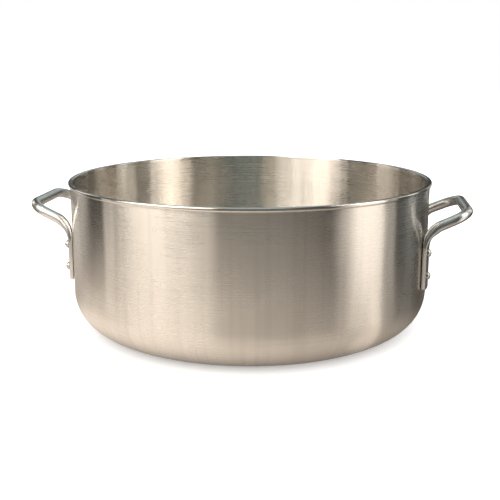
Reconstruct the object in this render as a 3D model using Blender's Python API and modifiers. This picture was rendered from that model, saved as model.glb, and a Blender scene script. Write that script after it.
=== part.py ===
"""Brew kettle: a wide, open aluminium pot with a thick rim and two riveted loop handles.

Lengths are metres and +Z is up. The origin is the centre of the flat base's underside.
The right handle stands out along +X and the left one along -X, and -Y is the front.
"""

from math import cos, pi, radians, sin, tan

import bmesh
import bpy
from mathutils import Matrix, Vector

# Vessel, a body turned about Z
WALL_RADIUS = 0.22225       # outside of the straight wall
HEIGHT = 0.1842             # base to the top of the rim
WALL_THICKNESS = 0.0035
BASE_THICKNESS = 0.0050
CORNER_RADIUS = 0.0485      # outside, between the wall and the base
RIM_OVERHANG = 0.0022       # how far the rim stands out from the wall
RIM_DEPTH = 0.0042          # top of the rim to its underside
RIM_EDGE = 0.0014           # rounding of the rim's edges
TURN_STEPS = 80             # flats around the vessel
CORNER_STEPS = 7
EDGE_STEPS = 3

# Handles, each a round rod with its two ends flattened into tabs on the wall
LEG_AZIMUTH = 3.5 * 2 * pi / TURN_STEPS     # the middle of a flat, nearly 16 degrees
ROD_DIAMETER = 0.0125
TAB_WIDTH = 0.0200
TAB_THICKNESS = 0.0048
TAB_EDGE = 0.0014           # rounding along the tab's long edges
TAB_CORNER = 0.0035         # rounding of the tab's lower corners, seen from the front
TAB_BOTTOM = 0.0615         # heights above the base
TAB_TOP = 0.1110
BEND_HEIGHT = 0.1328        # where the leg's line would meet the rod's line on the wall
GRIP_HEIGHT = 0.1526
GRIP_REACH = 0.0433         # wall to the middle of the grip
GRIP_SPACING = 0.1120       # between the legs where they reach the grip
BEND_RADIUS = 0.0200        # of the rod's centreline, where a leg leaves the wall
GRIP_BEND_RADIUS = 0.0240   # of the rod's centreline, between a leg and the grip
TAPER_LENGTH = 0.0260       # along the rod, from the tab's top to the full round section
TAB_END_ANGLES = (0, 30, 60, 90)    # sections round the lower corners, in degrees
NECK_STEPS = 3              # between the tab's top and the bend
BEND_STEPS = 6
GRIP_BEND_STEPS = 6
SIDES_A_CORNER = 5          # a section is four rounded corners

# Rivets, two through each tab
RIVET_HEIGHTS = {"lower": 0.0779, "upper": 0.1055}
SHANK_RADIUS = 0.0032
DOME_RADIUS = 0.0050
DOME_HEIGHT = 0.0040
INNER_HEAD_RADIUS = 0.0060
INNER_HEAD_HEIGHT = 0.0015
RIVET_STEPS = 18
DOME_STEPS = 4
INNER_HEAD_STEPS = 3

GAP = 0.0003                # between pieces that rest on each other
DRILL_LENGTH = 0.030        # longer than the wall and a tab together
MERGE = 0.00001

# Colour, roughness
SATIN_ALUMINIUM = ((0.80, 0.77, 0.72, 1.0), 0.32)
BRIGHT_ALUMINIUM = ((0.84, 0.84, 0.83, 1.0), 0.22)
RIVET_ALUMINIUM = ((0.83, 0.82, 0.80, 1.0), 0.28)


def clear_scene():
    for old in list(bpy.data.objects):
        bpy.data.objects.remove(old, do_unlink=True)


def collection(name):
    made = bpy.data.collections.new(name)
    bpy.context.scene.collection.children.link(made)
    return made


def metal(name, look):
    colour, roughness = look
    material = bpy.data.materials.new(name)
    material.use_nodes = True
    shader = material.node_tree.nodes["Principled BSDF"]
    shader.inputs["Base Color"].default_value = colour
    shader.inputs["Roughness"].default_value = roughness
    shader.inputs["Metallic"].default_value = 1.0
    return material


def add_object(name, mesh, group, parent=None):
    made = bpy.data.objects.new(name, mesh)
    group.objects.link(made)
    made.parent = parent
    return made


def arc(centre, radii, start, end, steps):
    """Points in (radius, height) on part of an ellipse, with its angles in degrees."""
    points = []
    for step in range(steps + 1):
        angle = radians(start + (end - start) * step / steps)
        points.append((centre[0] + radii[0] * cos(angle), centre[1] + radii[1] * sin(angle)))
    return points


def profile_mesh(name, points):
    """An open outline of (radius, height) points in the XZ plane, for a Screw modifier."""
    mesh = bpy.data.meshes.new(name)
    edges = [(index, index + 1) for index in range(len(points) - 1)]
    mesh.from_pydata([(radius, 0.0, height) for radius, height in points], edges, [])
    return mesh


def turn(target, steps):
    screw = target.modifiers.new("Turn", "SCREW")
    screw.steps = steps
    screw.render_steps = steps
    screw.use_merge_vertices = True
    screw.merge_threshold = MERGE
    screw.use_smooth_shade = True


def drill(target, cutter):
    cut = target.modifiers.new("Rivet holes", "BOOLEAN")
    cut.operation = "DIFFERENCE"
    cut.solver = "EXACT"
    cut.object = cutter


def vessel_profile():
    """From the middle of the floor, up inside, over the rim, down outside, to the base."""
    inner_radius = WALL_RADIUS - WALL_THICKNESS
    rim_radius = WALL_RADIUS + RIM_OVERHANG
    corner = (WALL_RADIUS - CORNER_RADIUS, CORNER_RADIUS)
    inner_corner = (CORNER_RADIUS - WALL_THICKNESS, CORNER_RADIUS - BASE_THICKNESS)
    edge = (RIM_EDGE, RIM_EDGE)
    rim_top = HEIGHT - RIM_EDGE
    rim_underside = HEIGHT - RIM_DEPTH
    points = [(0.0, BASE_THICKNESS)]
    points += arc(corner, inner_corner, -90, 0, CORNER_STEPS)
    points += arc((inner_radius + RIM_EDGE, rim_top), edge, 180, 90, EDGE_STEPS)
    points += arc((rim_radius - RIM_EDGE, rim_top), edge, 90, 0, EDGE_STEPS)
    points += arc((rim_radius - RIM_EDGE, rim_underside + RIM_EDGE), edge, 0, -90, EDGE_STEPS)
    points.append((WALL_RADIUS, rim_underside - RIM_OVERHANG + RIM_EDGE))
    points += arc(corner, (CORNER_RADIUS, CORNER_RADIUS), 0, -90, CORNER_STEPS)
    points.append((0.0, 0.0))
    return points


def rivet_profile():
    """From the top of the outer dome down to the low inner head; height 0 is the wall."""
    dome_seat = GAP + TAB_THICKNESS + GAP
    inner_seat = (WALL_RADIUS - WALL_THICKNESS) * cos(pi / TURN_STEPS) - WALL_RADIUS - GAP
    points = arc((0.0, dome_seat), (DOME_RADIUS, DOME_HEIGHT), 90, 0, DOME_STEPS)
    points.append((SHANK_RADIUS, dome_seat))
    points.append((SHANK_RADIUS, inner_seat))
    points += arc((0.0, inner_seat), (INNER_HEAD_RADIUS, INNER_HEAD_HEIGHT), 0, -90, INNER_HEAD_STEPS)
    return points


def fillet(before, corner, after, radius, steps):
    """(point, direction) pairs round an arc that touches both lines through a corner."""
    arriving = (corner - before).normalized()
    leaving = (after - corner).normalized()
    angle = arriving.angle(leaving)
    start = corner - arriving * radius * tan(angle / 2)
    centre = corner + (leaving - arriving).normalized() * radius / cos(angle / 2)
    spoke = start - centre
    pairs = []
    for step in range(steps + 1):
        turned = angle * step / steps
        point = centre + spoke * cos(turned) + arriving * radius * sin(turned)
        direction = arriving * cos(turned) - spoke / radius * sin(turned)
        pairs.append((point, direction))
    return pairs


def section(width, thickness, rounding):
    """A rectangle with rounded corners, or a circle where the rounding is half its width."""
    points = []
    for corner in range(4):
        middle = radians(45 + 90 * corner)
        across = (width / 2 - rounding) * (1 if cos(middle) > 0 else -1)
        through = (thickness / 2 - rounding) * (1 if sin(middle) > 0 else -1)
        for side in range(SIDES_A_CORNER):
            angle = radians(90 * (corner + (side + 0.5) / SIDES_A_CORNER))
            points.append((across + rounding * cos(angle), through + rounding * sin(angle)))
    return points


def leg_path():
    """(point, heading) pairs for a full-size rod, up one leg to the middle of the grip."""
    outward = Vector((cos(LEG_AZIMUTH), sin(LEG_AZIMUTH), 0.0))
    up = Vector((0.0, 0.0, 1.0))
    on_wall = outward * (WALL_RADIUS + GAP + ROD_DIAMETER / 2)
    rod_bend = on_wall + up * BEND_HEIGHT
    grip_corner = Vector((WALL_RADIUS + GRIP_REACH, GRIP_SPACING / 2, GRIP_HEIGHT))
    grip_middle = Vector((WALL_RADIUS + GRIP_REACH, 0.0, GRIP_HEIGHT))
    bend = fillet(rod_bend - up, rod_bend, grip_corner, BEND_RADIUS, BEND_STEPS)
    grip_bend = fillet(rod_bend, grip_corner, grip_middle, GRIP_BEND_RADIUS, GRIP_BEND_STEPS)
    bend_start = bend[0][0].z
    heights = [TAB_BOTTOM + TAB_CORNER * (1 - cos(radians(angle))) for angle in TAB_END_ANGLES]
    for step in range(NECK_STEPS):
        heights.append(TAB_TOP + (bend_start - TAB_TOP) * step / NECK_STEPS)
    straight = [(on_wall + up * height, up) for height in heights]
    along_grip = (grip_middle - grip_corner).normalized()
    return straight + bend + grip_bend + [(grip_middle, along_grip)]


def leg_sections():
    """(width, thickness, rounding) at each point of leg_path, from flat tab to round rod."""
    sections = []
    travelled = 0.0
    path = leg_path()
    for index, (point, _) in enumerate(path):
        if index > len(TAB_END_ANGLES):
            travelled += (point - path[index - 1][0]).length
        along = min(travelled / TAPER_LENGTH, 1.0)
        blend = along * along * (3 - 2 * along)
        width = TAB_WIDTH + (ROD_DIAMETER - TAB_WIDTH) * blend
        thickness = TAB_THICKNESS + (ROD_DIAMETER - TAB_THICKNESS) * blend
        rounding = TAB_EDGE + (ROD_DIAMETER / 2 - TAB_EDGE) * blend
        if index < len(TAB_END_ANGLES):
            width -= 2 * TAB_CORNER * (1 - sin(radians(TAB_END_ANGLES[index])))
        sections.append((width, thickness, rounding))
    return sections


def handle_rings():
    """The sections of a whole handle in order, one leg and then its mirror image.

    Each section sits against the side of the full-size rod that faces the wall.
    """
    direction = Vector((0.0, 0.0, 1.0))
    across = Vector((-sin(LEG_AZIMUTH), cos(LEG_AZIMUTH), 0.0))
    to_wall = Vector((-cos(LEG_AZIMUTH), -sin(LEG_AZIMUTH), 0.0))
    rings = []
    for (point, heading), (width, thickness, rounding) in zip(leg_path(), leg_sections()):
        swing = direction.rotation_difference(heading)
        direction = heading
        across.rotate(swing)
        to_wall.rotate(swing)
        centre = point + to_wall * (ROD_DIAMETER - thickness) / 2
        outline = section(width, thickness, rounding)
        rings.append([centre + across * a + to_wall * b for a, b in outline])
    mirrored = [[Vector((p.x, -p.y, p.z)) for p in ring] for ring in reversed(rings[:-1])]
    return rings + mirrored


def handle_mesh():
    """A loft, because the flat tabs and the round rod have unlike sections."""
    mesh = bpy.data.meshes.new("handle")
    shape = bmesh.new()
    rings = [[shape.verts.new(point) for point in ring] for ring in handle_rings()]
    for ring, following in zip(rings, rings[1:]):
        for index in range(len(ring)):
            after = (index + 1) % len(ring)
            shape.faces.new((ring[index], ring[after], following[after], following[index]))
    shape.faces.new(rings[0])
    shape.faces.new(rings[-1])
    bmesh.ops.recalc_face_normals(shape, faces=shape.faces)
    shape.to_mesh(mesh)
    shape.free()
    mesh.shade_smooth()
    mesh.set_sharp_from_angle(angle=radians(40))
    return mesh


def rivet_places(side_azimuth):
    """(name, azimuth, height) of the four rivets of the handle that faces this way."""
    places = []
    for sign in (-1, 1):
        azimuth = side_azimuth + sign * LEG_AZIMUTH
        end = "front" if sin(azimuth) < 0 else "rear"
        for level, height in RIVET_HEIGHTS.items():
            places.append((f"{end}_{level}", azimuth, height))
    return places


def drill_mesh(side_azimuth):
    """Four closed cylinders through the wall and the tabs of one handle."""
    mesh = bpy.data.meshes.new("drill")
    shape = bmesh.new()
    for _, azimuth, height in rivet_places(side_azimuth):
        place = Vector((WALL_RADIUS * cos(azimuth), WALL_RADIUS * sin(azimuth), height))
        aim = Matrix.Rotation(azimuth, 4, "Z") @ Matrix.Rotation(pi / 2, 4, "Y")
        bmesh.ops.create_cone(
            shape,
            cap_ends=True,
            segments=RIVET_STEPS,
            radius1=SHANK_RADIUS + GAP,
            radius2=SHANK_RADIUS + GAP,
            depth=DRILL_LENGTH,
            matrix=Matrix.Translation(place) @ aim,
        )
    shape.to_mesh(mesh)
    shape.free()
    return mesh


def build():
    clear_scene()
    parts = collection("brew_kettle")
    cutters = collection("brew_kettle_cutters")
    body_metal = metal("body_aluminium", SATIN_ALUMINIUM)
    handle_metal = metal("handle_aluminium", BRIGHT_ALUMINIUM)
    rivet_metal = metal("rivet_aluminium", RIVET_ALUMINIUM)
    origin = add_object("kettle_origin", None, parts)

    body_mesh = profile_mesh("kettle_body", vessel_profile())
    body_mesh.materials.append(body_metal)
    body = add_object("kettle_body", body_mesh, parts, origin)
    turn(body, TURN_STEPS)

    loop_mesh = handle_mesh()
    loop_mesh.materials.append(handle_metal)
    rivet_mesh = profile_mesh("rivet", rivet_profile())
    rivet_mesh.materials.append(rivet_metal)

    for side, side_azimuth in (("right", 0.0), ("left", pi)):
        cutter = add_object(f"drill_{side}", drill_mesh(side_azimuth), cutters)
        cutter.hide_render = True
        cutter.display_type = "WIRE"
        drill(body, cutter)

        handle = add_object(f"{side}_handle", loop_mesh, parts, origin)
        handle.rotation_euler = (0.0, 0.0, side_azimuth)
        drill(handle, cutter)

        for place, azimuth, height in rivet_places(side_azimuth):
            rivet = add_object(f"rivet_{side}_{place}", rivet_mesh, parts, origin)
            rivet.location = (WALL_RADIUS * cos(azimuth), WALL_RADIUS * sin(azimuth), height)
            rivet.rotation_euler = (0.0, pi / 2, azimuth)
            turn(rivet, RIVET_STEPS)


build()
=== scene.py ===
"""Looks for the brew kettle: a wide, open, spun aluminium pot with two riveted loop handles.

Lengths are metres and +Z is up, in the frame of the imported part: the origin is the middle of
the underside, the handles stand out along X, and -Y is the front. Nothing on the kettle moves,
so every piece rides on the one body, "root".
"""

from math import cos, pi, radians, sin, tan

import bmesh
import bpy
from mathutils import Matrix, Vector, noise


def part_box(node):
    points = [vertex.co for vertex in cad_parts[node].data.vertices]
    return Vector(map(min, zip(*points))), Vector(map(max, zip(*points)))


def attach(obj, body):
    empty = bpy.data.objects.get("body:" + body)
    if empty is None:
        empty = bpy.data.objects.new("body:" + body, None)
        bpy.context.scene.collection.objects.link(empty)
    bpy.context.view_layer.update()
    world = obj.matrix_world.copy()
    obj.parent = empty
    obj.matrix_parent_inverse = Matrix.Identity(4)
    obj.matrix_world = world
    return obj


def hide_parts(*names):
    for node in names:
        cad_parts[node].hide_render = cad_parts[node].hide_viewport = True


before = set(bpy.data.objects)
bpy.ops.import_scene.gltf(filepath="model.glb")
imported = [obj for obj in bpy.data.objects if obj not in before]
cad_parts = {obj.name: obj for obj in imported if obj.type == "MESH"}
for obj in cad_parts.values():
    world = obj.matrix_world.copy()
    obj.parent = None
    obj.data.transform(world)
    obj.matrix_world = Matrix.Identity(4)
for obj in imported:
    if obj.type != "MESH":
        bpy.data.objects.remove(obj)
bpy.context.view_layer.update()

# Vessel, as in the part
WALL_THICKNESS = 0.0035
BASE_THICKNESS = 0.0050
CORNER_RADIUS = 0.0485      # outside, between the wall and the base
RIM_OVERHANG = 0.0022
RIM_DEPTH = 0.0042
RIM_EDGE = 0.0014
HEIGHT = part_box("kettle_body")[1].z
WALL_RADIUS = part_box("kettle_body")[1].x - RIM_OVERHANG

# Vessel, finer than in the part
TURN_STEPS = 288
SHARP_ANGLE = radians(40)   # between faces that aren't shaded as one smooth surface
FLOOR_RINGS = 24
CORNER_STEPS = 22
WALL_RINGS = 36
EDGE_STEPS = 6
DIMPLE_RADIUS = 0.0026      # the lathe's centre mark, in the floor and in the underside
DIMPLE_DEPTH = 0.0005
WAVE_DEPTH = 0.00030        # how far the spun wall wanders from a true cylinder
WAVES_AROUND = 4.5
WAVES_UP = 14.0             # per metre of height
WAVE_START = (0.020, 0.060)     # heights between which the waviness comes in
WAVE_END = (0.020, 0.008)       # depths below the rim's top between which it goes out

# Handles, as in the part
PART_FLATS = 80             # flats around the part's body
LEG_AZIMUTH = 3.5 * 2 * pi / PART_FLATS     # each tab lies on the middle of a flat
ROD_DIAMETER = 0.0125
TAB_WIDTH = 0.0200
TAB_THICKNESS = 0.0048
TAB_EDGE = 0.0014
TAB_CORNER = 0.0035
TAB_TOP = 0.1110
BEND_HEIGHT = 0.1328
BEND_RADIUS = 0.0200
GRIP_BEND_RADIUS = 0.0240
GRIP_SPACING = 0.1120
TAPER_LENGTH = 0.0260
TAB_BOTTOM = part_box("right_handle")[0].z
GRIP_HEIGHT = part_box("right_handle")[1].z - ROD_DIAMETER / 2
GRIP_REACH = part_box("right_handle")[1].x - ROD_DIAMETER / 2 - WALL_RADIUS
GAP = 0.0003                # between pieces that touch

# Handles, finer than in the part
TAB_END_STEPS = 8
TAB_STEPS = 10
NECK_STEPS = 6
BEND_STEPS = 14
LEG_STEPS = 6
GRIP_BEND_STEPS = 16
GRIP_STEPS = 8
SIDES_A_CORNER = 9          # of the rod's section, which has four corners

# Rivets
SHANK_RADIUS = 0.0032
DOME_RADIUS = 0.0050
DOME_HEIGHT = 0.0040
INNER_HEAD_RADIUS = 0.0060
INNER_HEAD_HEIGHT = 0.0015
RIVET_STEPS = 48
DOME_STEPS = 16
INNER_HEAD_STEPS = 10
DRILL_LENGTH = 0.030

# Camera, at the height and angle from which the kettle is seen
CAMERA_PLACE = Vector((0.1235, -1.0788, 0.3407))
CAMERA_TARGET = Vector((0.0, 0.0, 0.0893))
CAMERA_LENS = 62.55         # millimetres, as is the sensor
CAMERA_SENSOR = 36.0

# Studio floor, which the camera sees and reflections don't
FLOOR_Z = -0.0004           # just under the kettle
FLOOR_REACH = 6.0
FLOOR_COLOUR = (0.96, 0.96, 0.96, 1.0)
FLOOR_GLOW = 0.35           # light of its own, which keeps the kettle's shadow on it faint

# Table top, which only reflections show; its glow has the light and shade of a lit table painted in
TABLE_Z = 2 * FLOOR_Z
TABLE_EDGES = (-0.48, 0.42, -0.55, 0.50)    # left, right, front and back
TABLE_COLOUR = (1.0, 0.87, 0.75, 1.0)
TABLE_LEFT = 1.15           # how strongly it glows at the left and at the right
TABLE_RIGHT = 0.25
TABLE_SIDES = (-0.30, 0.40)     # from how far left to how far right this changes
TABLE_SLANT = 0.35          # how much further right a place counts for its distance behind the middle
TABLE_BACK = 0.5            # the share of its glow that is left at the back
TABLE_DEPTHS = (-0.10, 0.06)    # from how far in front to how far behind this changes
TABLE_UNDER = 0.10          # the share of its glow that is left in the shadow painted under the kettle
TABLE_COVER = (WALL_RADIUS - CORNER_RADIUS, WALL_RADIUS + 0.015)    # radii between which the painted shadow fades out
PATCH_GLOW = 0.9            # of a painted strip of light that lies on it, in front and to the right
PATCH_FRONT = (-0.20, -0.16)
PATCH_BACK = (-0.14, -0.11)
PATCH_LEFT = (0.08, 0.16)

# Screens around the kettle, which only reflections show
SCREEN_RING = 1.05
WARM = (1.0, 0.91, 0.82)
COOL = (0.97, 1.0, 0.95)
FAINT_BLUE = (0.90, 1.0, 0.99)
PALE_BLUE = (0.80, 1.0, 0.98)

# Soft light from above
OVERHEAD_PLACE = (-0.1, -0.2, 1.9)
OVERHEAD_SIZE = 1.6
OVERHEAD_WATTS = 5.0
OVERHEAD_COLOUR = (0.88, 1.0, 1.0)

# The world behind it all, as the camera sees it, as metal reflects it and as it lights the floor
SEEN_COLOUR = (1.0, 1.0, 1.0, 1.0)
REFLECTED_COLOUR = (0.06, 0.06, 0.055, 1.0)
FILL_COLOUR = (1.5, 1.5, 1.5, 1.0)


# ---------------------------------------------------------------- shapes


def arc(centre, radii, start, end, steps):
    """Points in (radius, height) on part of an ellipse, with its angles in degrees."""
    points = []
    for step in range(steps + 1):
        angle = radians(start + (end - start) * step / steps)
        points.append((centre[0] + radii[0] * cos(angle), centre[1] + radii[1] * sin(angle)))
    return points


def line(start, end, steps):
    """The points between two others in (radius, height), without the two."""
    points = []
    for step in range(1, steps):
        share = step / steps
        points.append(tuple(a + (b - a) * share for a, b in zip(start, end)))
    return points


def centre_mark(height, depth):
    """The lathe's mark, from the axis outwards, sunk into a surface at this height."""
    shares = ((0.0, 1.0), (0.6, 0.7), (1.0, 0.1), (1.3, 0.0))
    return [(DIMPLE_RADIUS * out, height - depth * down) for out, down in shares]


def vessel_profile():
    """From the middle of the floor, up inside, over the rim, down outside, to the underside."""
    inner_radius = WALL_RADIUS - WALL_THICKNESS
    rim_radius = WALL_RADIUS + RIM_OVERHANG
    corner = (WALL_RADIUS - CORNER_RADIUS, CORNER_RADIUS)
    inner_corner = (CORNER_RADIUS - WALL_THICKNESS, CORNER_RADIUS - BASE_THICKNESS)
    edge = (RIM_EDGE, RIM_EDGE)
    rim_top = HEIGHT - RIM_EDGE
    rim_underside = HEIGHT - RIM_DEPTH
    floor_mark = centre_mark(BASE_THICKNESS, DIMPLE_DEPTH)
    underside_mark = centre_mark(0.0, -DIMPLE_DEPTH)
    points = floor_mark + line(floor_mark[-1], (corner[0], BASE_THICKNESS), FLOOR_RINGS)
    points += arc(corner, inner_corner, -90, 0, CORNER_STEPS)
    points += line(points[-1], (inner_radius, rim_top), WALL_RINGS)
    points += arc((inner_radius + RIM_EDGE, rim_top), edge, 180, 90, EDGE_STEPS)
    points += arc((rim_radius - RIM_EDGE, rim_top), edge, 90, 0, EDGE_STEPS)
    points += arc((rim_radius - RIM_EDGE, rim_underside + RIM_EDGE), edge, 0, -90, EDGE_STEPS)
    points.append((WALL_RADIUS, rim_underside - RIM_OVERHANG + RIM_EDGE))
    points += line(points[-1], (WALL_RADIUS, CORNER_RADIUS), WALL_RINGS)
    points += arc(corner, (CORNER_RADIUS, CORNER_RADIUS), 0, -90, CORNER_STEPS)
    points += line(points[-1], underside_mark[-1], FLOOR_RINGS)
    return points + underside_mark[::-1]


def rivet_profile():
    """From the top of the outer dome down to the low inner head; height 0 is the wall."""
    dome_seat = GAP + TAB_THICKNESS + GAP
    inner_seat = -WALL_THICKNESS - 2 * GAP
    dome = arc((0.0, dome_seat), (DOME_RADIUS, DOME_HEIGHT), 90, 0, DOME_STEPS)
    dome[0] = (0.0, dome[0][1])
    head = arc((0.0, inner_seat), (INNER_HEAD_RADIUS, INNER_HEAD_HEIGHT), 0, -90, INNER_HEAD_STEPS)
    head[-1] = (0.0, head[-1][1])
    return dome + [(SHANK_RADIUS, dome_seat), (SHANK_RADIUS, inner_seat)] + head


def turned_mesh(name, profile, steps, shift=None):
    """A closed surface turned about Z; its outline of (radius, height) starts and ends on the axis."""
    shape = bmesh.new()
    rings = []
    for radius, height in profile:
        count = steps if radius else 1
        ring = []
        for step in range(count):
            angle = 2 * pi * step / steps
            point = Vector((radius * cos(angle), radius * sin(angle), height))
            ring.append(shape.verts.new(shift(point) if shift else point))
        rings.append(ring)
    for ring, following in zip(rings, rings[1:]):
        for step in range(steps):
            after = (step + 1) % steps
            corners = [ring[step % len(ring)], ring[after % len(ring)]]
            corners += [following[after % len(following)], following[step % len(following)]]
            shape.faces.new(list(dict.fromkeys(corners)))
    bmesh.ops.recalc_face_normals(shape, faces=shape.faces)
    return finished_mesh(name, shape)


def finished_mesh(name, shape):
    mesh = bpy.data.meshes.new(name)
    shape.to_mesh(mesh)
    shape.free()
    mesh.shade_smooth()
    mesh.set_sharp_from_angle(angle=SHARP_ANGLE)
    return mesh


def smooth_step(low, high, value):
    share = min(max((value - low) / (high - low), 0.0), 1.0)
    return share * share * (3 - 2 * share)


def spun_wave(point):
    """Moves a point of the straight wall in or out a little, as hand spinning leaves it."""
    radius = Vector((point.x, point.y)).length
    coming = smooth_step(*WAVE_START, point.z)
    going = smooth_step(HEIGHT - WAVE_END[0], HEIGHT - WAVE_END[1], point.z)
    fade = coming * (1 - going)
    if radius < 0.9 * WALL_RADIUS or not fade:
        return point
    around = Vector((point.x, point.y, 0.0)) / radius
    place = Vector((around.x * WAVES_AROUND, around.y * WAVES_AROUND, point.z * WAVES_UP))
    return point + around * WAVE_DEPTH * fade * noise.noise(place)


def fillet(before, corner, after, radius, steps):
    """(point, direction) pairs round an arc that touches both lines through a corner."""
    arriving = (corner - before).normalized()
    leaving = (after - corner).normalized()
    angle = arriving.angle(leaving)
    start = corner - arriving * radius * tan(angle / 2)
    centre = corner + (leaving - arriving).normalized() * radius / cos(angle / 2)
    spoke = start - centre
    pairs = []
    for step in range(steps + 1):
        turned = angle * step / steps
        point = centre + spoke * cos(turned) + arriving * radius * sin(turned)
        direction = arriving * cos(turned) - spoke / radius * sin(turned)
        pairs.append((point, direction))
    return pairs


def between(start, end, steps):
    """(point, direction) pairs between two others, without the two."""
    return [(start[0].lerp(end[0], step / steps), start[1]) for step in range(1, steps)]


def section(width, thickness, rounding):
    """A rectangle with rounded corners, or a circle where the rounding is half its width."""
    points = []
    for corner in range(4):
        middle = radians(45 + 90 * corner)
        across = (width / 2 - rounding) * (1 if cos(middle) > 0 else -1)
        through = (thickness / 2 - rounding) * (1 if sin(middle) > 0 else -1)
        for side in range(SIDES_A_CORNER):
            angle = radians(90 * (corner + (side + 0.5) / SIDES_A_CORNER))
            points.append((across + rounding * cos(angle), through + rounding * sin(angle)))
    return points


def leg_path():
    """(point, heading) pairs for a full-size rod, up one leg to the middle of the grip."""
    outward = Vector((cos(LEG_AZIMUTH), sin(LEG_AZIMUTH), 0.0))
    up = Vector((0.0, 0.0, 1.0))
    on_wall = outward * (WALL_RADIUS + GAP + ROD_DIAMETER / 2)
    rod_bend = on_wall + up * BEND_HEIGHT
    grip_corner = Vector((WALL_RADIUS + GRIP_REACH, GRIP_SPACING / 2, GRIP_HEIGHT))
    grip_middle = Vector((WALL_RADIUS + GRIP_REACH, 0.0, GRIP_HEIGHT))
    bend = fillet(rod_bend - up, rod_bend, grip_corner, BEND_RADIUS, BEND_STEPS)
    grip_bend = fillet(rod_bend, grip_corner, grip_middle, GRIP_BEND_RADIUS, GRIP_BEND_STEPS)
    tab_end = []
    for step in range(TAB_END_STEPS + 1):
        rise = TAB_CORNER * (1 - cos(radians(90 * step / TAB_END_STEPS)))
        tab_end.append((on_wall + up * (TAB_BOTTOM + rise), up))
    tab_top = (on_wall + up * TAB_TOP, up)
    middle = (grip_middle, (grip_middle - grip_corner).normalized())
    path = tab_end + between(tab_end[-1], tab_top, TAB_STEPS) + [tab_top]
    path += between(tab_top, bend[0], NECK_STEPS) + bend
    path += between(bend[-1], grip_bend[0], LEG_STEPS) + grip_bend
    return path + between(grip_bend[-1], middle, GRIP_STEPS) + [middle]


def leg_sections(path):
    """(width, thickness, rounding) at each point of leg_path, from flat tab to round rod."""
    sections = []
    travelled = 0.0
    for index, (point, _) in enumerate(path):
        if index > TAB_END_STEPS + TAB_STEPS:
            travelled += (point - path[index - 1][0]).length
        blend = smooth_step(0.0, TAPER_LENGTH, travelled)
        width = TAB_WIDTH + (ROD_DIAMETER - TAB_WIDTH) * blend
        thickness = TAB_THICKNESS + (ROD_DIAMETER - TAB_THICKNESS) * blend
        rounding = TAB_EDGE + (ROD_DIAMETER / 2 - TAB_EDGE) * blend
        if index < TAB_END_STEPS:
            width -= 2 * TAB_CORNER * (1 - sin(radians(90 * index / TAB_END_STEPS)))
        sections.append((width, thickness, rounding))
    return sections


def handle_mesh():
    """The right handle, lofted up one leg and along half the grip, and then mirrored.

    The attribute "rod" holds, for each point, where it is around the rod, as a cosine and a
    sine, and how far along it, for the lines that drawing leaves in the metal.
    """
    direction = Vector((0.0, 0.0, 1.0))
    across = Vector((-sin(LEG_AZIMUTH), cos(LEG_AZIMUTH), 0.0))
    to_wall = Vector((-cos(LEG_AZIMUTH), -sin(LEG_AZIMUTH), 0.0))
    path = leg_path()
    rings = []
    lengths = []
    travelled = 0.0
    previous = path[0][0]
    for (point, heading), (width, thickness, rounding) in zip(path, leg_sections(path)):
        swing = direction.rotation_difference(heading)
        direction = heading
        across.rotate(swing)
        to_wall.rotate(swing)
        centre = point + to_wall * (ROD_DIAMETER - thickness) / 2
        rings.append([centre + across * a + to_wall * b for a, b in section(width, thickness, rounding)])
        travelled += (point - previous).length
        previous = point
        lengths.append(travelled)
    mirrored = [[Vector((p.x, -p.y, p.z)) for p in ring] for ring in reversed(rings[:-1])]
    lengths += [2 * travelled - length for length in reversed(lengths[:-1])]
    shape = bmesh.new()
    rod = shape.verts.layers.float_vector.new("rod")
    made = []
    for ring, length in zip(rings + mirrored, lengths):
        made.append([shape.verts.new(point) for point in ring])
        for index, vertex in enumerate(made[-1]):
            angle = 2 * pi * index / len(ring)
            vertex[rod] = (cos(angle), sin(angle), length)
    for ring, following in zip(made, made[1:]):
        for index in range(len(ring)):
            after = (index + 1) % len(ring)
            shape.faces.new((ring[index], ring[after], following[after], following[index]))
    shape.faces.new(made[0])
    shape.faces.new(made[-1])
    bmesh.ops.recalc_face_normals(shape, faces=shape.faces)
    return finished_mesh("handle", shape)


def rivet_place(azimuth, height):
    """Where the wall's surface is at a rivet, turned so that local Z points outwards."""
    place = Vector((WALL_RADIUS * cos(azimuth), WALL_RADIUS * sin(azimuth), height))
    aim = Matrix.Rotation(azimuth, 4, "Z") @ Matrix.Rotation(pi / 2, 4, "Y")
    return Matrix.Translation(place) @ aim


def drilled(mesh, places):
    """The same mesh with a rivet hole at each place."""
    shape = bmesh.new()
    for place in places:
        bmesh.ops.create_cone(
            shape,
            cap_ends=True,
            segments=RIVET_STEPS,
            radius1=SHANK_RADIUS + GAP,
            radius2=SHANK_RADIUS + GAP,
            depth=DRILL_LENGTH,
            matrix=place,
        )
    drill_mesh = bpy.data.meshes.new("drill")
    shape.to_mesh(drill_mesh)
    shape.free()
    drill = add_object("drill", drill_mesh)
    blank = add_object("blank", mesh)
    cut = blank.modifiers.new("Rivet holes", "BOOLEAN")
    cut.operation = "DIFFERENCE"
    cut.solver = "EXACT"
    cut.object = drill
    graph = bpy.context.evaluated_depsgraph_get()
    made = bpy.data.meshes.new_from_object(blank.evaluated_get(graph))
    made.name = mesh.name
    bpy.data.objects.remove(blank)
    bpy.data.objects.remove(drill)
    return made


def add_object(name, mesh):
    made = bpy.data.objects.new(name, mesh)
    bpy.context.scene.collection.objects.link(made)
    return made


# ---------------------------------------------------------------- materials


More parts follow.
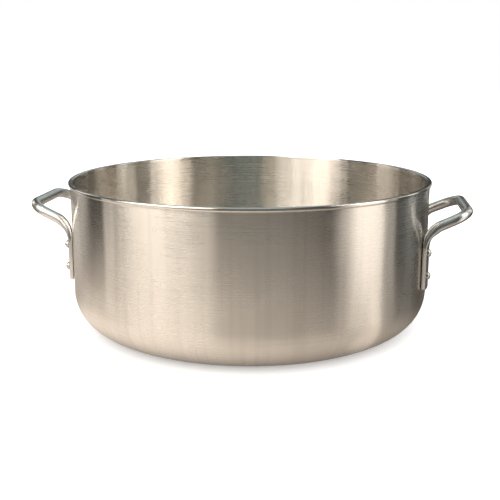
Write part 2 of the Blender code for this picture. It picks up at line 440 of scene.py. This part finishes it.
class Graph:
    """Adds nodes to a material, each with its values and links given together."""

    def __init__(self, name):
        self.material = bpy.data.materials.new(name)
        self.material.use_nodes = True
        self.tree = self.material.node_tree
        self.shader = self.tree.nodes["Principled BSDF"]

    def put(self, socket, value):
        if isinstance(value, bpy.types.NodeSocket):
            self.tree.links.new(value, socket)
        else:
            socket.default_value = value

    def node(self, kind, *values, **settings):
        made = self.tree.nodes.new("ShaderNode" + kind)
        for name, value in settings.items():
            setattr(made, name, value)
        for index, value in enumerate(values):
            self.put(made.inputs[index], value)
        return made

    def maths(self, operation, *values):
        return self.node("Math", *values, operation=operation).outputs[0]

    def vector(self, x, y, z):
        return self.node("CombineXYZ", x, y, z).outputs[0]

    def parts(self, vector):
        return self.node("SeparateXYZ", vector).outputs

    def noise(self, vector, scale=1.0, detail=2.0, roughness=0.5):
        made = self.node("TexNoise")
        self.put(made.inputs["Vector"], vector)
        made.inputs["Scale"].default_value = scale
        made.inputs["Detail"].default_value = detail
        made.inputs["Roughness"].default_value = roughness
        return made.outputs[0]

    def ramp(self, value, low, high, to_low=0.0, to_high=1.0):
        """A smooth step of value from low to high, given as a number from to_low to to_high."""
        made = self.node("MapRange", value, low, high, to_low, to_high)
        made.interpolation_type = "SMOOTHSTEP"
        return made.outputs[0]

    def mix(self, share, first, second):
        made = self.node("Mix", share, data_type="RGBA")
        self.put(made.inputs[6], first)
        self.put(made.inputs[7], second)
        return made.outputs[2]

    def bump(self, height, depth, strength, under=None):
        made = self.node("Bump")
        self.put(made.inputs["Height"], height)
        made.inputs["Distance"].default_value = depth
        made.inputs["Strength"].default_value = strength
        if under is not None:
            self.put(made.inputs["Normal"], under)
        return made.outputs[0]

    def metal(self, colour, roughness, normal, anisotropy=0.0, rotation=0.0):
        self.put(self.shader.inputs["Base Color"], colour)
        self.put(self.shader.inputs["Roughness"], roughness)
        self.put(self.shader.inputs["Normal"], normal)
        self.shader.inputs["Metallic"].default_value = 1.0
        self.shader.inputs["Anisotropic"].default_value = anisotropy
        self.shader.inputs["Anisotropic Rotation"].default_value = rotation
        return self.material

    def light(self, colour, strength):
        """A material that only glows."""
        glow = self.node("Emission", colour, strength)
        self.tree.links.new(glow.outputs[0], self.tree.nodes["Material Output"].inputs[0])
        self.tree.nodes.remove(self.shader)
        return self.material


def scratch_lines(graph, place, turn, scale, width):
    """Thin straight scratches along one direction: 1 in a scratch and 0 elsewhere."""
    mapping = graph.node("Mapping", place)
    mapping.inputs["Rotation"].default_value = turn
    mapping.inputs["Scale"].default_value = (scale, scale * 0.035, scale * 0.035)
    lines = graph.noise(mapping.outputs[0], detail=1.0)
    off_middle = graph.maths("ABSOLUTE", graph.maths("SUBTRACT", lines, 0.5))
    return graph.ramp(off_middle, 0.0, width, 1.0, 0.0)


def spun_aluminium():
    """Satin aluminium with the rings that spinning and polishing leave around the Z axis."""
    graph = Graph("body_aluminium_spun")
    place = graph.node("TexCoord").outputs["Object"]
    x, y, z = graph.parts(place)
    flat = graph.vector(x, y, 0.0)
    radius = graph.node("VectorMath", flat, operation="LENGTH").outputs["Value"]
    around = graph.node("VectorMath", flat, operation="NORMALIZE").outputs[0]
    around_x, around_y, _ = graph.parts(around)
    along = graph.maths("ADD", radius, z)       # grows along the outline, on floor and wall alike

    def marks(turns, length, detail, roughness=0.5):
        """Noise about this long along the outline: rings where it is short, upright where long."""
        coordinates = graph.vector(
            graph.maths("MULTIPLY", around_x, turns),
            graph.maths("MULTIPLY", around_y, turns),
            graph.maths("MULTIPLY", along, 1 / length),
        )
        return graph.noise(coordinates, detail=detail, roughness=roughness)

    fine = marks(2.5, 0.0008, 3.0, 0.6)
    coarse = marks(1.2, 0.0060, 2.0, 0.6)
    stains = marks(11.0, 0.200, 3.0)
    streaks = marks(26.0, 0.350, 2.0)
    flats = marks(14.0, 0.500, 0.0)
    clouds = graph.noise(place, scale=14.0, detail=4.0, roughness=0.55)
    smears = graph.noise(place, scale=46.0, detail=3.0)

    inside = graph.ramp(radius, WALL_RADIUS - WALL_THICKNESS + 0.0002, WALL_RADIUS - 0.0002, 1.0, 0.0)
    rim = graph.ramp(z, HEIGHT - RIM_DEPTH - 0.001, HEIGHT - RIM_DEPTH + 0.0015)
    first = scratch_lines(graph, place, (0.3, 0.5, 0.4), 260.0, 0.006)
    second = scratch_lines(graph, place, (1.1, -0.4, 2.2), 210.0, 0.005)
    third = scratch_lines(graph, place, (-0.6, 0.9, 1.3), 330.0, 0.006)
    lines = graph.maths("MAXIMUM", graph.maths("MAXIMUM", first, second), third)
    scratches = graph.maths("MULTIPLY", lines, graph.ramp(smears, 0.55, 0.75))

    warm = graph.mix(graph.ramp(clouds, 0.35, 0.68), (0.82, 0.79, 0.74, 1.0), (0.77, 0.735, 0.68, 1.0))
    stained = graph.mix(graph.ramp(stains, 0.50, 0.74, 0.0, 0.35), warm, (0.70, 0.67, 0.62, 1.0))
    streaked = graph.mix(graph.ramp(streaks, 0.48, 0.66, 0.0, 0.40), stained, (0.68, 0.65, 0.60, 1.0))
    lined = graph.mix(graph.ramp(fine, 0.40, 0.72, 0.0, 0.16), streaked, (0.72, 0.70, 0.66, 1.0))
    worn = graph.mix(graph.maths("MULTIPLY", rim, 0.55), lined, (0.88, 0.86, 0.83, 1.0))
    colour = graph.mix(graph.maths("MULTIPLY", scratches, 0.15), worn, (0.90, 0.89, 0.87, 1.0))

    roughness = graph.ramp(fine, 0.30, 0.70, 0.26, 0.30)
    roughness = graph.maths("ADD", roughness, graph.ramp(clouds, 0.35, 0.70, -0.02, 0.03))
    roughness = graph.maths("ADD", roughness, graph.maths("MULTIPLY", inside, -0.015))
    roughness = graph.maths("ADD", roughness, graph.maths("MULTIPLY", rim, -0.08))
    roughness = graph.maths("ADD", roughness, graph.maths("MULTIPLY", scratches, 0.04))

    normal = graph.bump(flats, 0.0007, 0.50)
    normal = graph.bump(coarse, 0.00004, 0.30, normal)
    normal = graph.bump(fine, 0.00002, 0.15, normal)
    # The quarter turn stretches reflections across the rings: up and down on the wall
    return graph.metal(colour, roughness, normal, anisotropy=1.0, rotation=0.25)


def drawn_aluminium():
    """Satin aluminium rod with the faint lines of drawing along it, small dents and scratches."""
    graph = Graph("handle_aluminium_drawn")
    place = graph.node("TexCoord").outputs["Object"]
    rod = graph.node("Attribute", attribute_name="rod").outputs["Vector"]
    round_x, round_y, length = graph.parts(rod)
    lines = graph.noise(
        graph.vector(
            graph.maths("MULTIPLY", round_x, 24.0),
            graph.maths("MULTIPLY", round_y, 24.0),
            graph.maths("MULTIPLY", length, 30.0),
        ),
        detail=3.0,
        roughness=0.6,
    )
    clouds = graph.noise(place, scale=55.0, detail=3.0)
    dents = graph.noise(place, scale=160.0, detail=2.0)
    first = scratch_lines(graph, place, (0.4, 1.2, 0.3), 520.0, 0.014)
    second = scratch_lines(graph, place, (1.3, -0.2, 0.9), 420.0, 0.012)
    both = graph.maths("MAXIMUM", first, second)
    scratches = graph.maths("MULTIPLY", both, graph.ramp(clouds, 0.46, 0.60))

    base = graph.mix(graph.ramp(clouds, 0.35, 0.68), (0.82, 0.82, 0.81, 1.0), (0.74, 0.74, 0.73, 1.0))
    lined = graph.mix(graph.ramp(lines, 0.45, 0.72, 0.0, 0.30), base, (0.60, 0.60, 0.59, 1.0))
    colour = graph.mix(graph.maths("MULTIPLY", scratches, 0.30), lined, (0.93, 0.93, 0.92, 1.0))

    roughness = graph.ramp(lines, 0.30, 0.70, 0.25, 0.33)
    roughness = graph.maths("ADD", roughness, graph.ramp(clouds, 0.35, 0.70, -0.02, 0.05))
    roughness = graph.maths("ADD", roughness, graph.maths("MULTIPLY", scratches, 0.08))

    normal = graph.bump(dents, 0.00008, 0.35)
    normal = graph.bump(lines, 0.00003, 0.30, normal)
    normal = graph.bump(scratches, 0.00002, 0.25, normal)
    return graph.metal(colour, roughness, normal)


def upset_aluminium():
    """Rivet metal: a beaten dome, worn bright on top, with shade painted dark where it meets the tab,
    and a paler inner head.
    """
    graph = Graph("rivet_aluminium_upset")
    place = graph.node("TexCoord").outputs["Object"]
    _, _, z = graph.parts(place)
    seat = GAP + TAB_THICKNESS + GAP
    clouds = graph.noise(place, scale=220.0, detail=3.0)
    beaten = graph.noise(place, scale=480.0, detail=1.0)
    grain = graph.noise(place, scale=2600.0, detail=2.0)
    near_seat = graph.ramp(z, seat + 0.0002, seat + 0.0013, 1.0, 0.0)
    at_seat = graph.maths("MULTIPLY", near_seat, graph.ramp(z, 0.0, seat - 0.0002))
    top = graph.ramp(z, seat + DOME_HEIGHT * 0.70, seat + DOME_HEIGHT * 0.95)
    within = graph.ramp(z, -WALL_THICKNESS, -0.001, 1.0, 0.0)

    outer = graph.mix(graph.ramp(clouds, 0.35, 0.65), (0.70, 0.69, 0.67, 1.0), (0.60, 0.59, 0.57, 1.0))
    base = graph.mix(within, outer, (0.80, 0.78, 0.74, 1.0))
    # painted shade: the dome darkens where it meets the tab; its roughness is raised there too
    seat_shaded = graph.mix(graph.maths("MULTIPLY", at_seat, 0.60), base, (0.30, 0.29, 0.27, 1.0))
    colour = graph.mix(graph.maths("MULTIPLY", top, 0.40), seat_shaded, (0.82, 0.81, 0.80, 1.0))

    roughness = graph.ramp(clouds, 0.35, 0.65, 0.24, 0.34)
    roughness = graph.maths("ADD", roughness, graph.maths("MULTIPLY", at_seat, 0.15))
    roughness = graph.maths("ADD", roughness, graph.maths("MULTIPLY", top, -0.07))

    normal = graph.bump(beaten, 0.00018, 0.40)
    normal = graph.bump(grain, 0.00001, 0.30, normal)
    return graph.metal(colour, roughness, normal)


# ---------------------------------------------------------------- the kettle


def side_rivets(side_azimuth):
    """(name, azimuth, height) of the four rivets of the handle that faces this way."""
    side = "right" if cos(side_azimuth) > 0 else "left"
    found = []
    for sign in (-1, 1):
        azimuth = side_azimuth + sign * LEG_AZIMUTH
        end = "front" if sin(azimuth) < 0 else "rear"
        for level in ("lower", "upper"):
            name = f"rivet_{side}_{end}_{level}"
            low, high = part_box(name)
            found.append((name, azimuth, (low.z + high.z) / 2))
    return found


def add_piece(name, mesh, material, node):
    piece = add_object(name, mesh)
    piece.data.materials.clear()
    piece.data.materials.append(material)
    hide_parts(node)
    return piece


def build_kettle():
    sides = (("right", 0.0), ("left", pi))
    rivets = [rivet for _, azimuth in sides for rivet in side_rivets(azimuth)]
    places = [rivet_place(azimuth, height) for _, azimuth, height in rivets]

    vessel = turned_mesh("spun_body", vessel_profile(), TURN_STEPS, spun_wave)
    vessel = drilled(vessel, places)
    body = add_piece("spun_body", vessel, spun_aluminium(), "kettle_body")
    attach(body, "root")

    rod_metal = drawn_aluminium()
    rod = drilled(handle_mesh(), places[:4])        # those four are the right handle's
    for side, azimuth in sides:
        name = f"{side}_handle_rod"
        handle = add_piece(name, rod.copy(), rod_metal, f"{side}_handle")
        handle.rotation_euler = (0.0, 0.0, azimuth)
        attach(handle, "root")

    rivet_metal = upset_aluminium()
    rivet_mesh = turned_mesh("rivet", rivet_profile(), RIVET_STEPS)
    for (node, _, _), place in zip(rivets, places):
        rivet = add_piece(f"{node}_upset", rivet_mesh.copy(), rivet_metal, node)
        rivet.matrix_world = place
        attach(rivet, "root")


# ---------------------------------------------------------------- studio


def level_corners(left, right, front, back, height):
    outline = ((left, front), (right, front), (right, back), (left, back))
    return [(x, y, height) for x, y in outline]


def stage_sheet(name, corners, material):
    """A flat sheet that isn't part of the kettle; U runs along its first side, from 0 to 1."""
    mesh = bpy.data.meshes.new(name)
    mesh.from_pydata([Vector(corner) for corner in corners], [], [tuple(range(len(corners)))])
    mesh.materials.append(material)
    across = mesh.uv_layers.new(name="across")
    for corner, place in zip(across.data, ((0, 0), (1, 0), (1, 1), (0, 1))):
        corner.uv = place
    made = add_object(name, mesh)
    return made


def only_in_reflections(made):
    made.visible_camera = False
    made.visible_diffuse = False
    made.visible_shadow = False


def add_floor():
    """A matt, pale floor."""
    graph = Graph("floor_white")
    graph.shader.inputs["Base Color"].default_value = FLOOR_COLOUR
    graph.shader.inputs["Roughness"].default_value = 0.9
    graph.shader.inputs["Specular IOR Level"].default_value = 0.0
    graph.shader.inputs["Emission Color"].default_value = FLOOR_COLOUR
    graph.shader.inputs["Emission Strength"].default_value = FLOOR_GLOW
    corners = level_corners(-FLOOR_REACH, FLOOR_REACH, -FLOOR_REACH, FLOOR_REACH, FLOOR_Z)
    floor = stage_sheet("floor", corners, graph.material)
    floor.visible_glossy = False


def add_table():
    """A warm table top that glows, with painted light: darker to the right, at the back and, as a
    painted shadow, under the kettle.
    """
    graph = Graph("table_glow")
    x, y, _ = graph.parts(graph.node("TexCoord").outputs["Object"])
    rightwards = graph.maths("MULTIPLY_ADD", y, TABLE_SLANT, x)
    radius = graph.node("VectorMath", graph.vector(x, y, 0.0), operation="LENGTH").outputs["Value"]
    # a painted shadow under the kettle: the glow is dimmed where the kettle shades the table
    outside_kettle_shadow = graph.ramp(radius, *TABLE_COVER, TABLE_UNDER, 1.0)
    # painted light falling from the left: the glow fades towards the right and towards the back
    sideways = graph.ramp(rightwards, *TABLE_SIDES, TABLE_LEFT, TABLE_RIGHT)
    overall = graph.maths("MULTIPLY", sideways, graph.ramp(y, *TABLE_DEPTHS, 1.0, TABLE_BACK))
    # a painted strip of light on the table, in front of the kettle and to its right
    strip = graph.maths("MULTIPLY", graph.ramp(y, *PATCH_FRONT), graph.ramp(y, *PATCH_BACK, 1.0, 0.0))
    painted_light_patch = graph.maths("MULTIPLY", strip, graph.ramp(x, *PATCH_LEFT, 0.0, PATCH_GLOW))
    level = graph.maths("MULTIPLY", outside_kettle_shadow, graph.maths("MAXIMUM", overall, painted_light_patch))
    corners = level_corners(*TABLE_EDGES, TABLE_Z)
    table = stage_sheet("table_in_reflections", corners, graph.light(TABLE_COLOUR, level))
    only_in_reflections(table)


def screen(name, first, last, low, high, colour, strength, fades):
    """An upright light between two azimuths, in degrees from +X, on a ring around the kettle.

    fades are the shares of its width over which its first and last ends die away.
    """
    graph = Graph(name)
    across = graph.parts(graph.node("UVMap").outputs[0])[0]
    level = strength
    if fades[0]:
        level = graph.maths("MULTIPLY", level, graph.ramp(across, 0.0, fades[0]))
    if fades[1]:
        level = graph.maths("MULTIPLY", level, graph.ramp(across, 1.0 - fades[1], 1.0, 1.0, 0.0))
    start = (SCREEN_RING * cos(radians(first)), SCREEN_RING * sin(radians(first)))
    end = (SCREEN_RING * cos(radians(last)), SCREEN_RING * sin(radians(last)))
    corners = [(*start, low), (*end, low), (*end, high), (*start, high)]
    only_in_reflections(stage_sheet(name, corners, graph.light((*colour, 1.0), level)))


def add_screens():
    """The lights whose reflections make the bands on the metal."""
    screen("screen_left", 194, 246, -0.40, 0.35, WARM, 0.5, (0.06, 0.50))
    screen("screen_left_high", 199, 263, 0.35, 1.60, WARM, 5.4, (0.01, 0.50))
    screen("screen_left_dim", 184, 194, -0.40, 0.35, WARM, 0.7, (0.5, 0.0))
    screen("screen_right", 320, 360, -0.50, 0.35, WARM, 1.2, (0.50, 0.05))
    screen("screen_right_high", 332, 361, 0.35, 1.60, WARM, 3.7, (0.25, 0.20))
    screen("screen_right_edge", 1, 8, -0.40, 1.20, WARM, 0.5, (0.0, 0.3))
    screen("screen_side_right", 18, 34, 0.22, 1.60, COOL, 1.7, (0.2, 0.3))
    screen("screen_back_right", 45, 62, 0.05, 1.20, WARM, 0.5, (0.2, 0.2))
    screen("screen_back", 72, 126, 0.33, 1.60, FAINT_BLUE, 0.52, (0.2, 0.2))
    screen("screen_back_left", 148, 169, 0.24, 0.80, WARM, 1.7, (0.3, 0.2))
    screen("screen_front", 262, 304, 0.35, 1.60, PALE_BLUE, 0.18, (0.1, 0.1))
    screen("screen_back_left_low", 108, 174, -0.40, 0.10, WARM, 0.65, (0.12, 0.40))


def add_overhead_light():
    data = bpy.data.lights.new("overhead_soft", "AREA")
    data.energy = OVERHEAD_WATTS
    data.shape = "SQUARE"
    data.size = OVERHEAD_SIZE
    data.color = OVERHEAD_COLOUR
    light = bpy.data.objects.new("overhead_soft", data)
    light.location = OVERHEAD_PLACE
    bpy.context.scene.collection.objects.link(light)


def add_world():
    """White where the camera sees it, dark in reflections, and a soft fill for matt surfaces."""
    world = bpy.data.worlds.new("studio")
    world.use_nodes = True
    bpy.context.scene.world = world
    nodes = world.node_tree.nodes
    links = world.node_tree.links
    rays = nodes.new("ShaderNodeLightPath")
    seen = nodes["Background"]
    seen.inputs[0].default_value = SEEN_COLOUR
    reflected = nodes.new("ShaderNodeBackground")
    reflected.inputs[0].default_value = REFLECTED_COLOUR
    fill = nodes.new("ShaderNodeBackground")
    fill.inputs[0].default_value = FILL_COLOUR
    unseen = nodes.new("ShaderNodeMixShader")
    links.new(rays.outputs["Is Glossy Ray"], unseen.inputs[0])
    links.new(fill.outputs[0], unseen.inputs[1])
    links.new(reflected.outputs[0], unseen.inputs[2])
    everything = nodes.new("ShaderNodeMixShader")
    links.new(rays.outputs["Is Camera Ray"], everything.inputs[0])
    links.new(unseen.outputs[0], everything.inputs[1])
    links.new(seen.outputs[0], everything.inputs[2])
    links.new(everything.outputs[0], nodes["World Output"].inputs[0])


def add_camera():
    data = bpy.data.cameras.new("camera")
    data.lens = CAMERA_LENS
    data.sensor_width = CAMERA_SENSOR
    camera = bpy.data.objects.new("camera", data)
    camera.location = CAMERA_PLACE
    camera.rotation_euler = (CAMERA_TARGET - CAMERA_PLACE).to_track_quat("-Z", "Y").to_euler()
    bpy.context.scene.collection.objects.link(camera)
    bpy.context.scene.camera = camera


add_camera()
build_kettle()
add_floor()
add_table()
add_screens()
add_overhead_light()
add_world()
bpy.context.scene.view_settings.view_transform = "Standard"
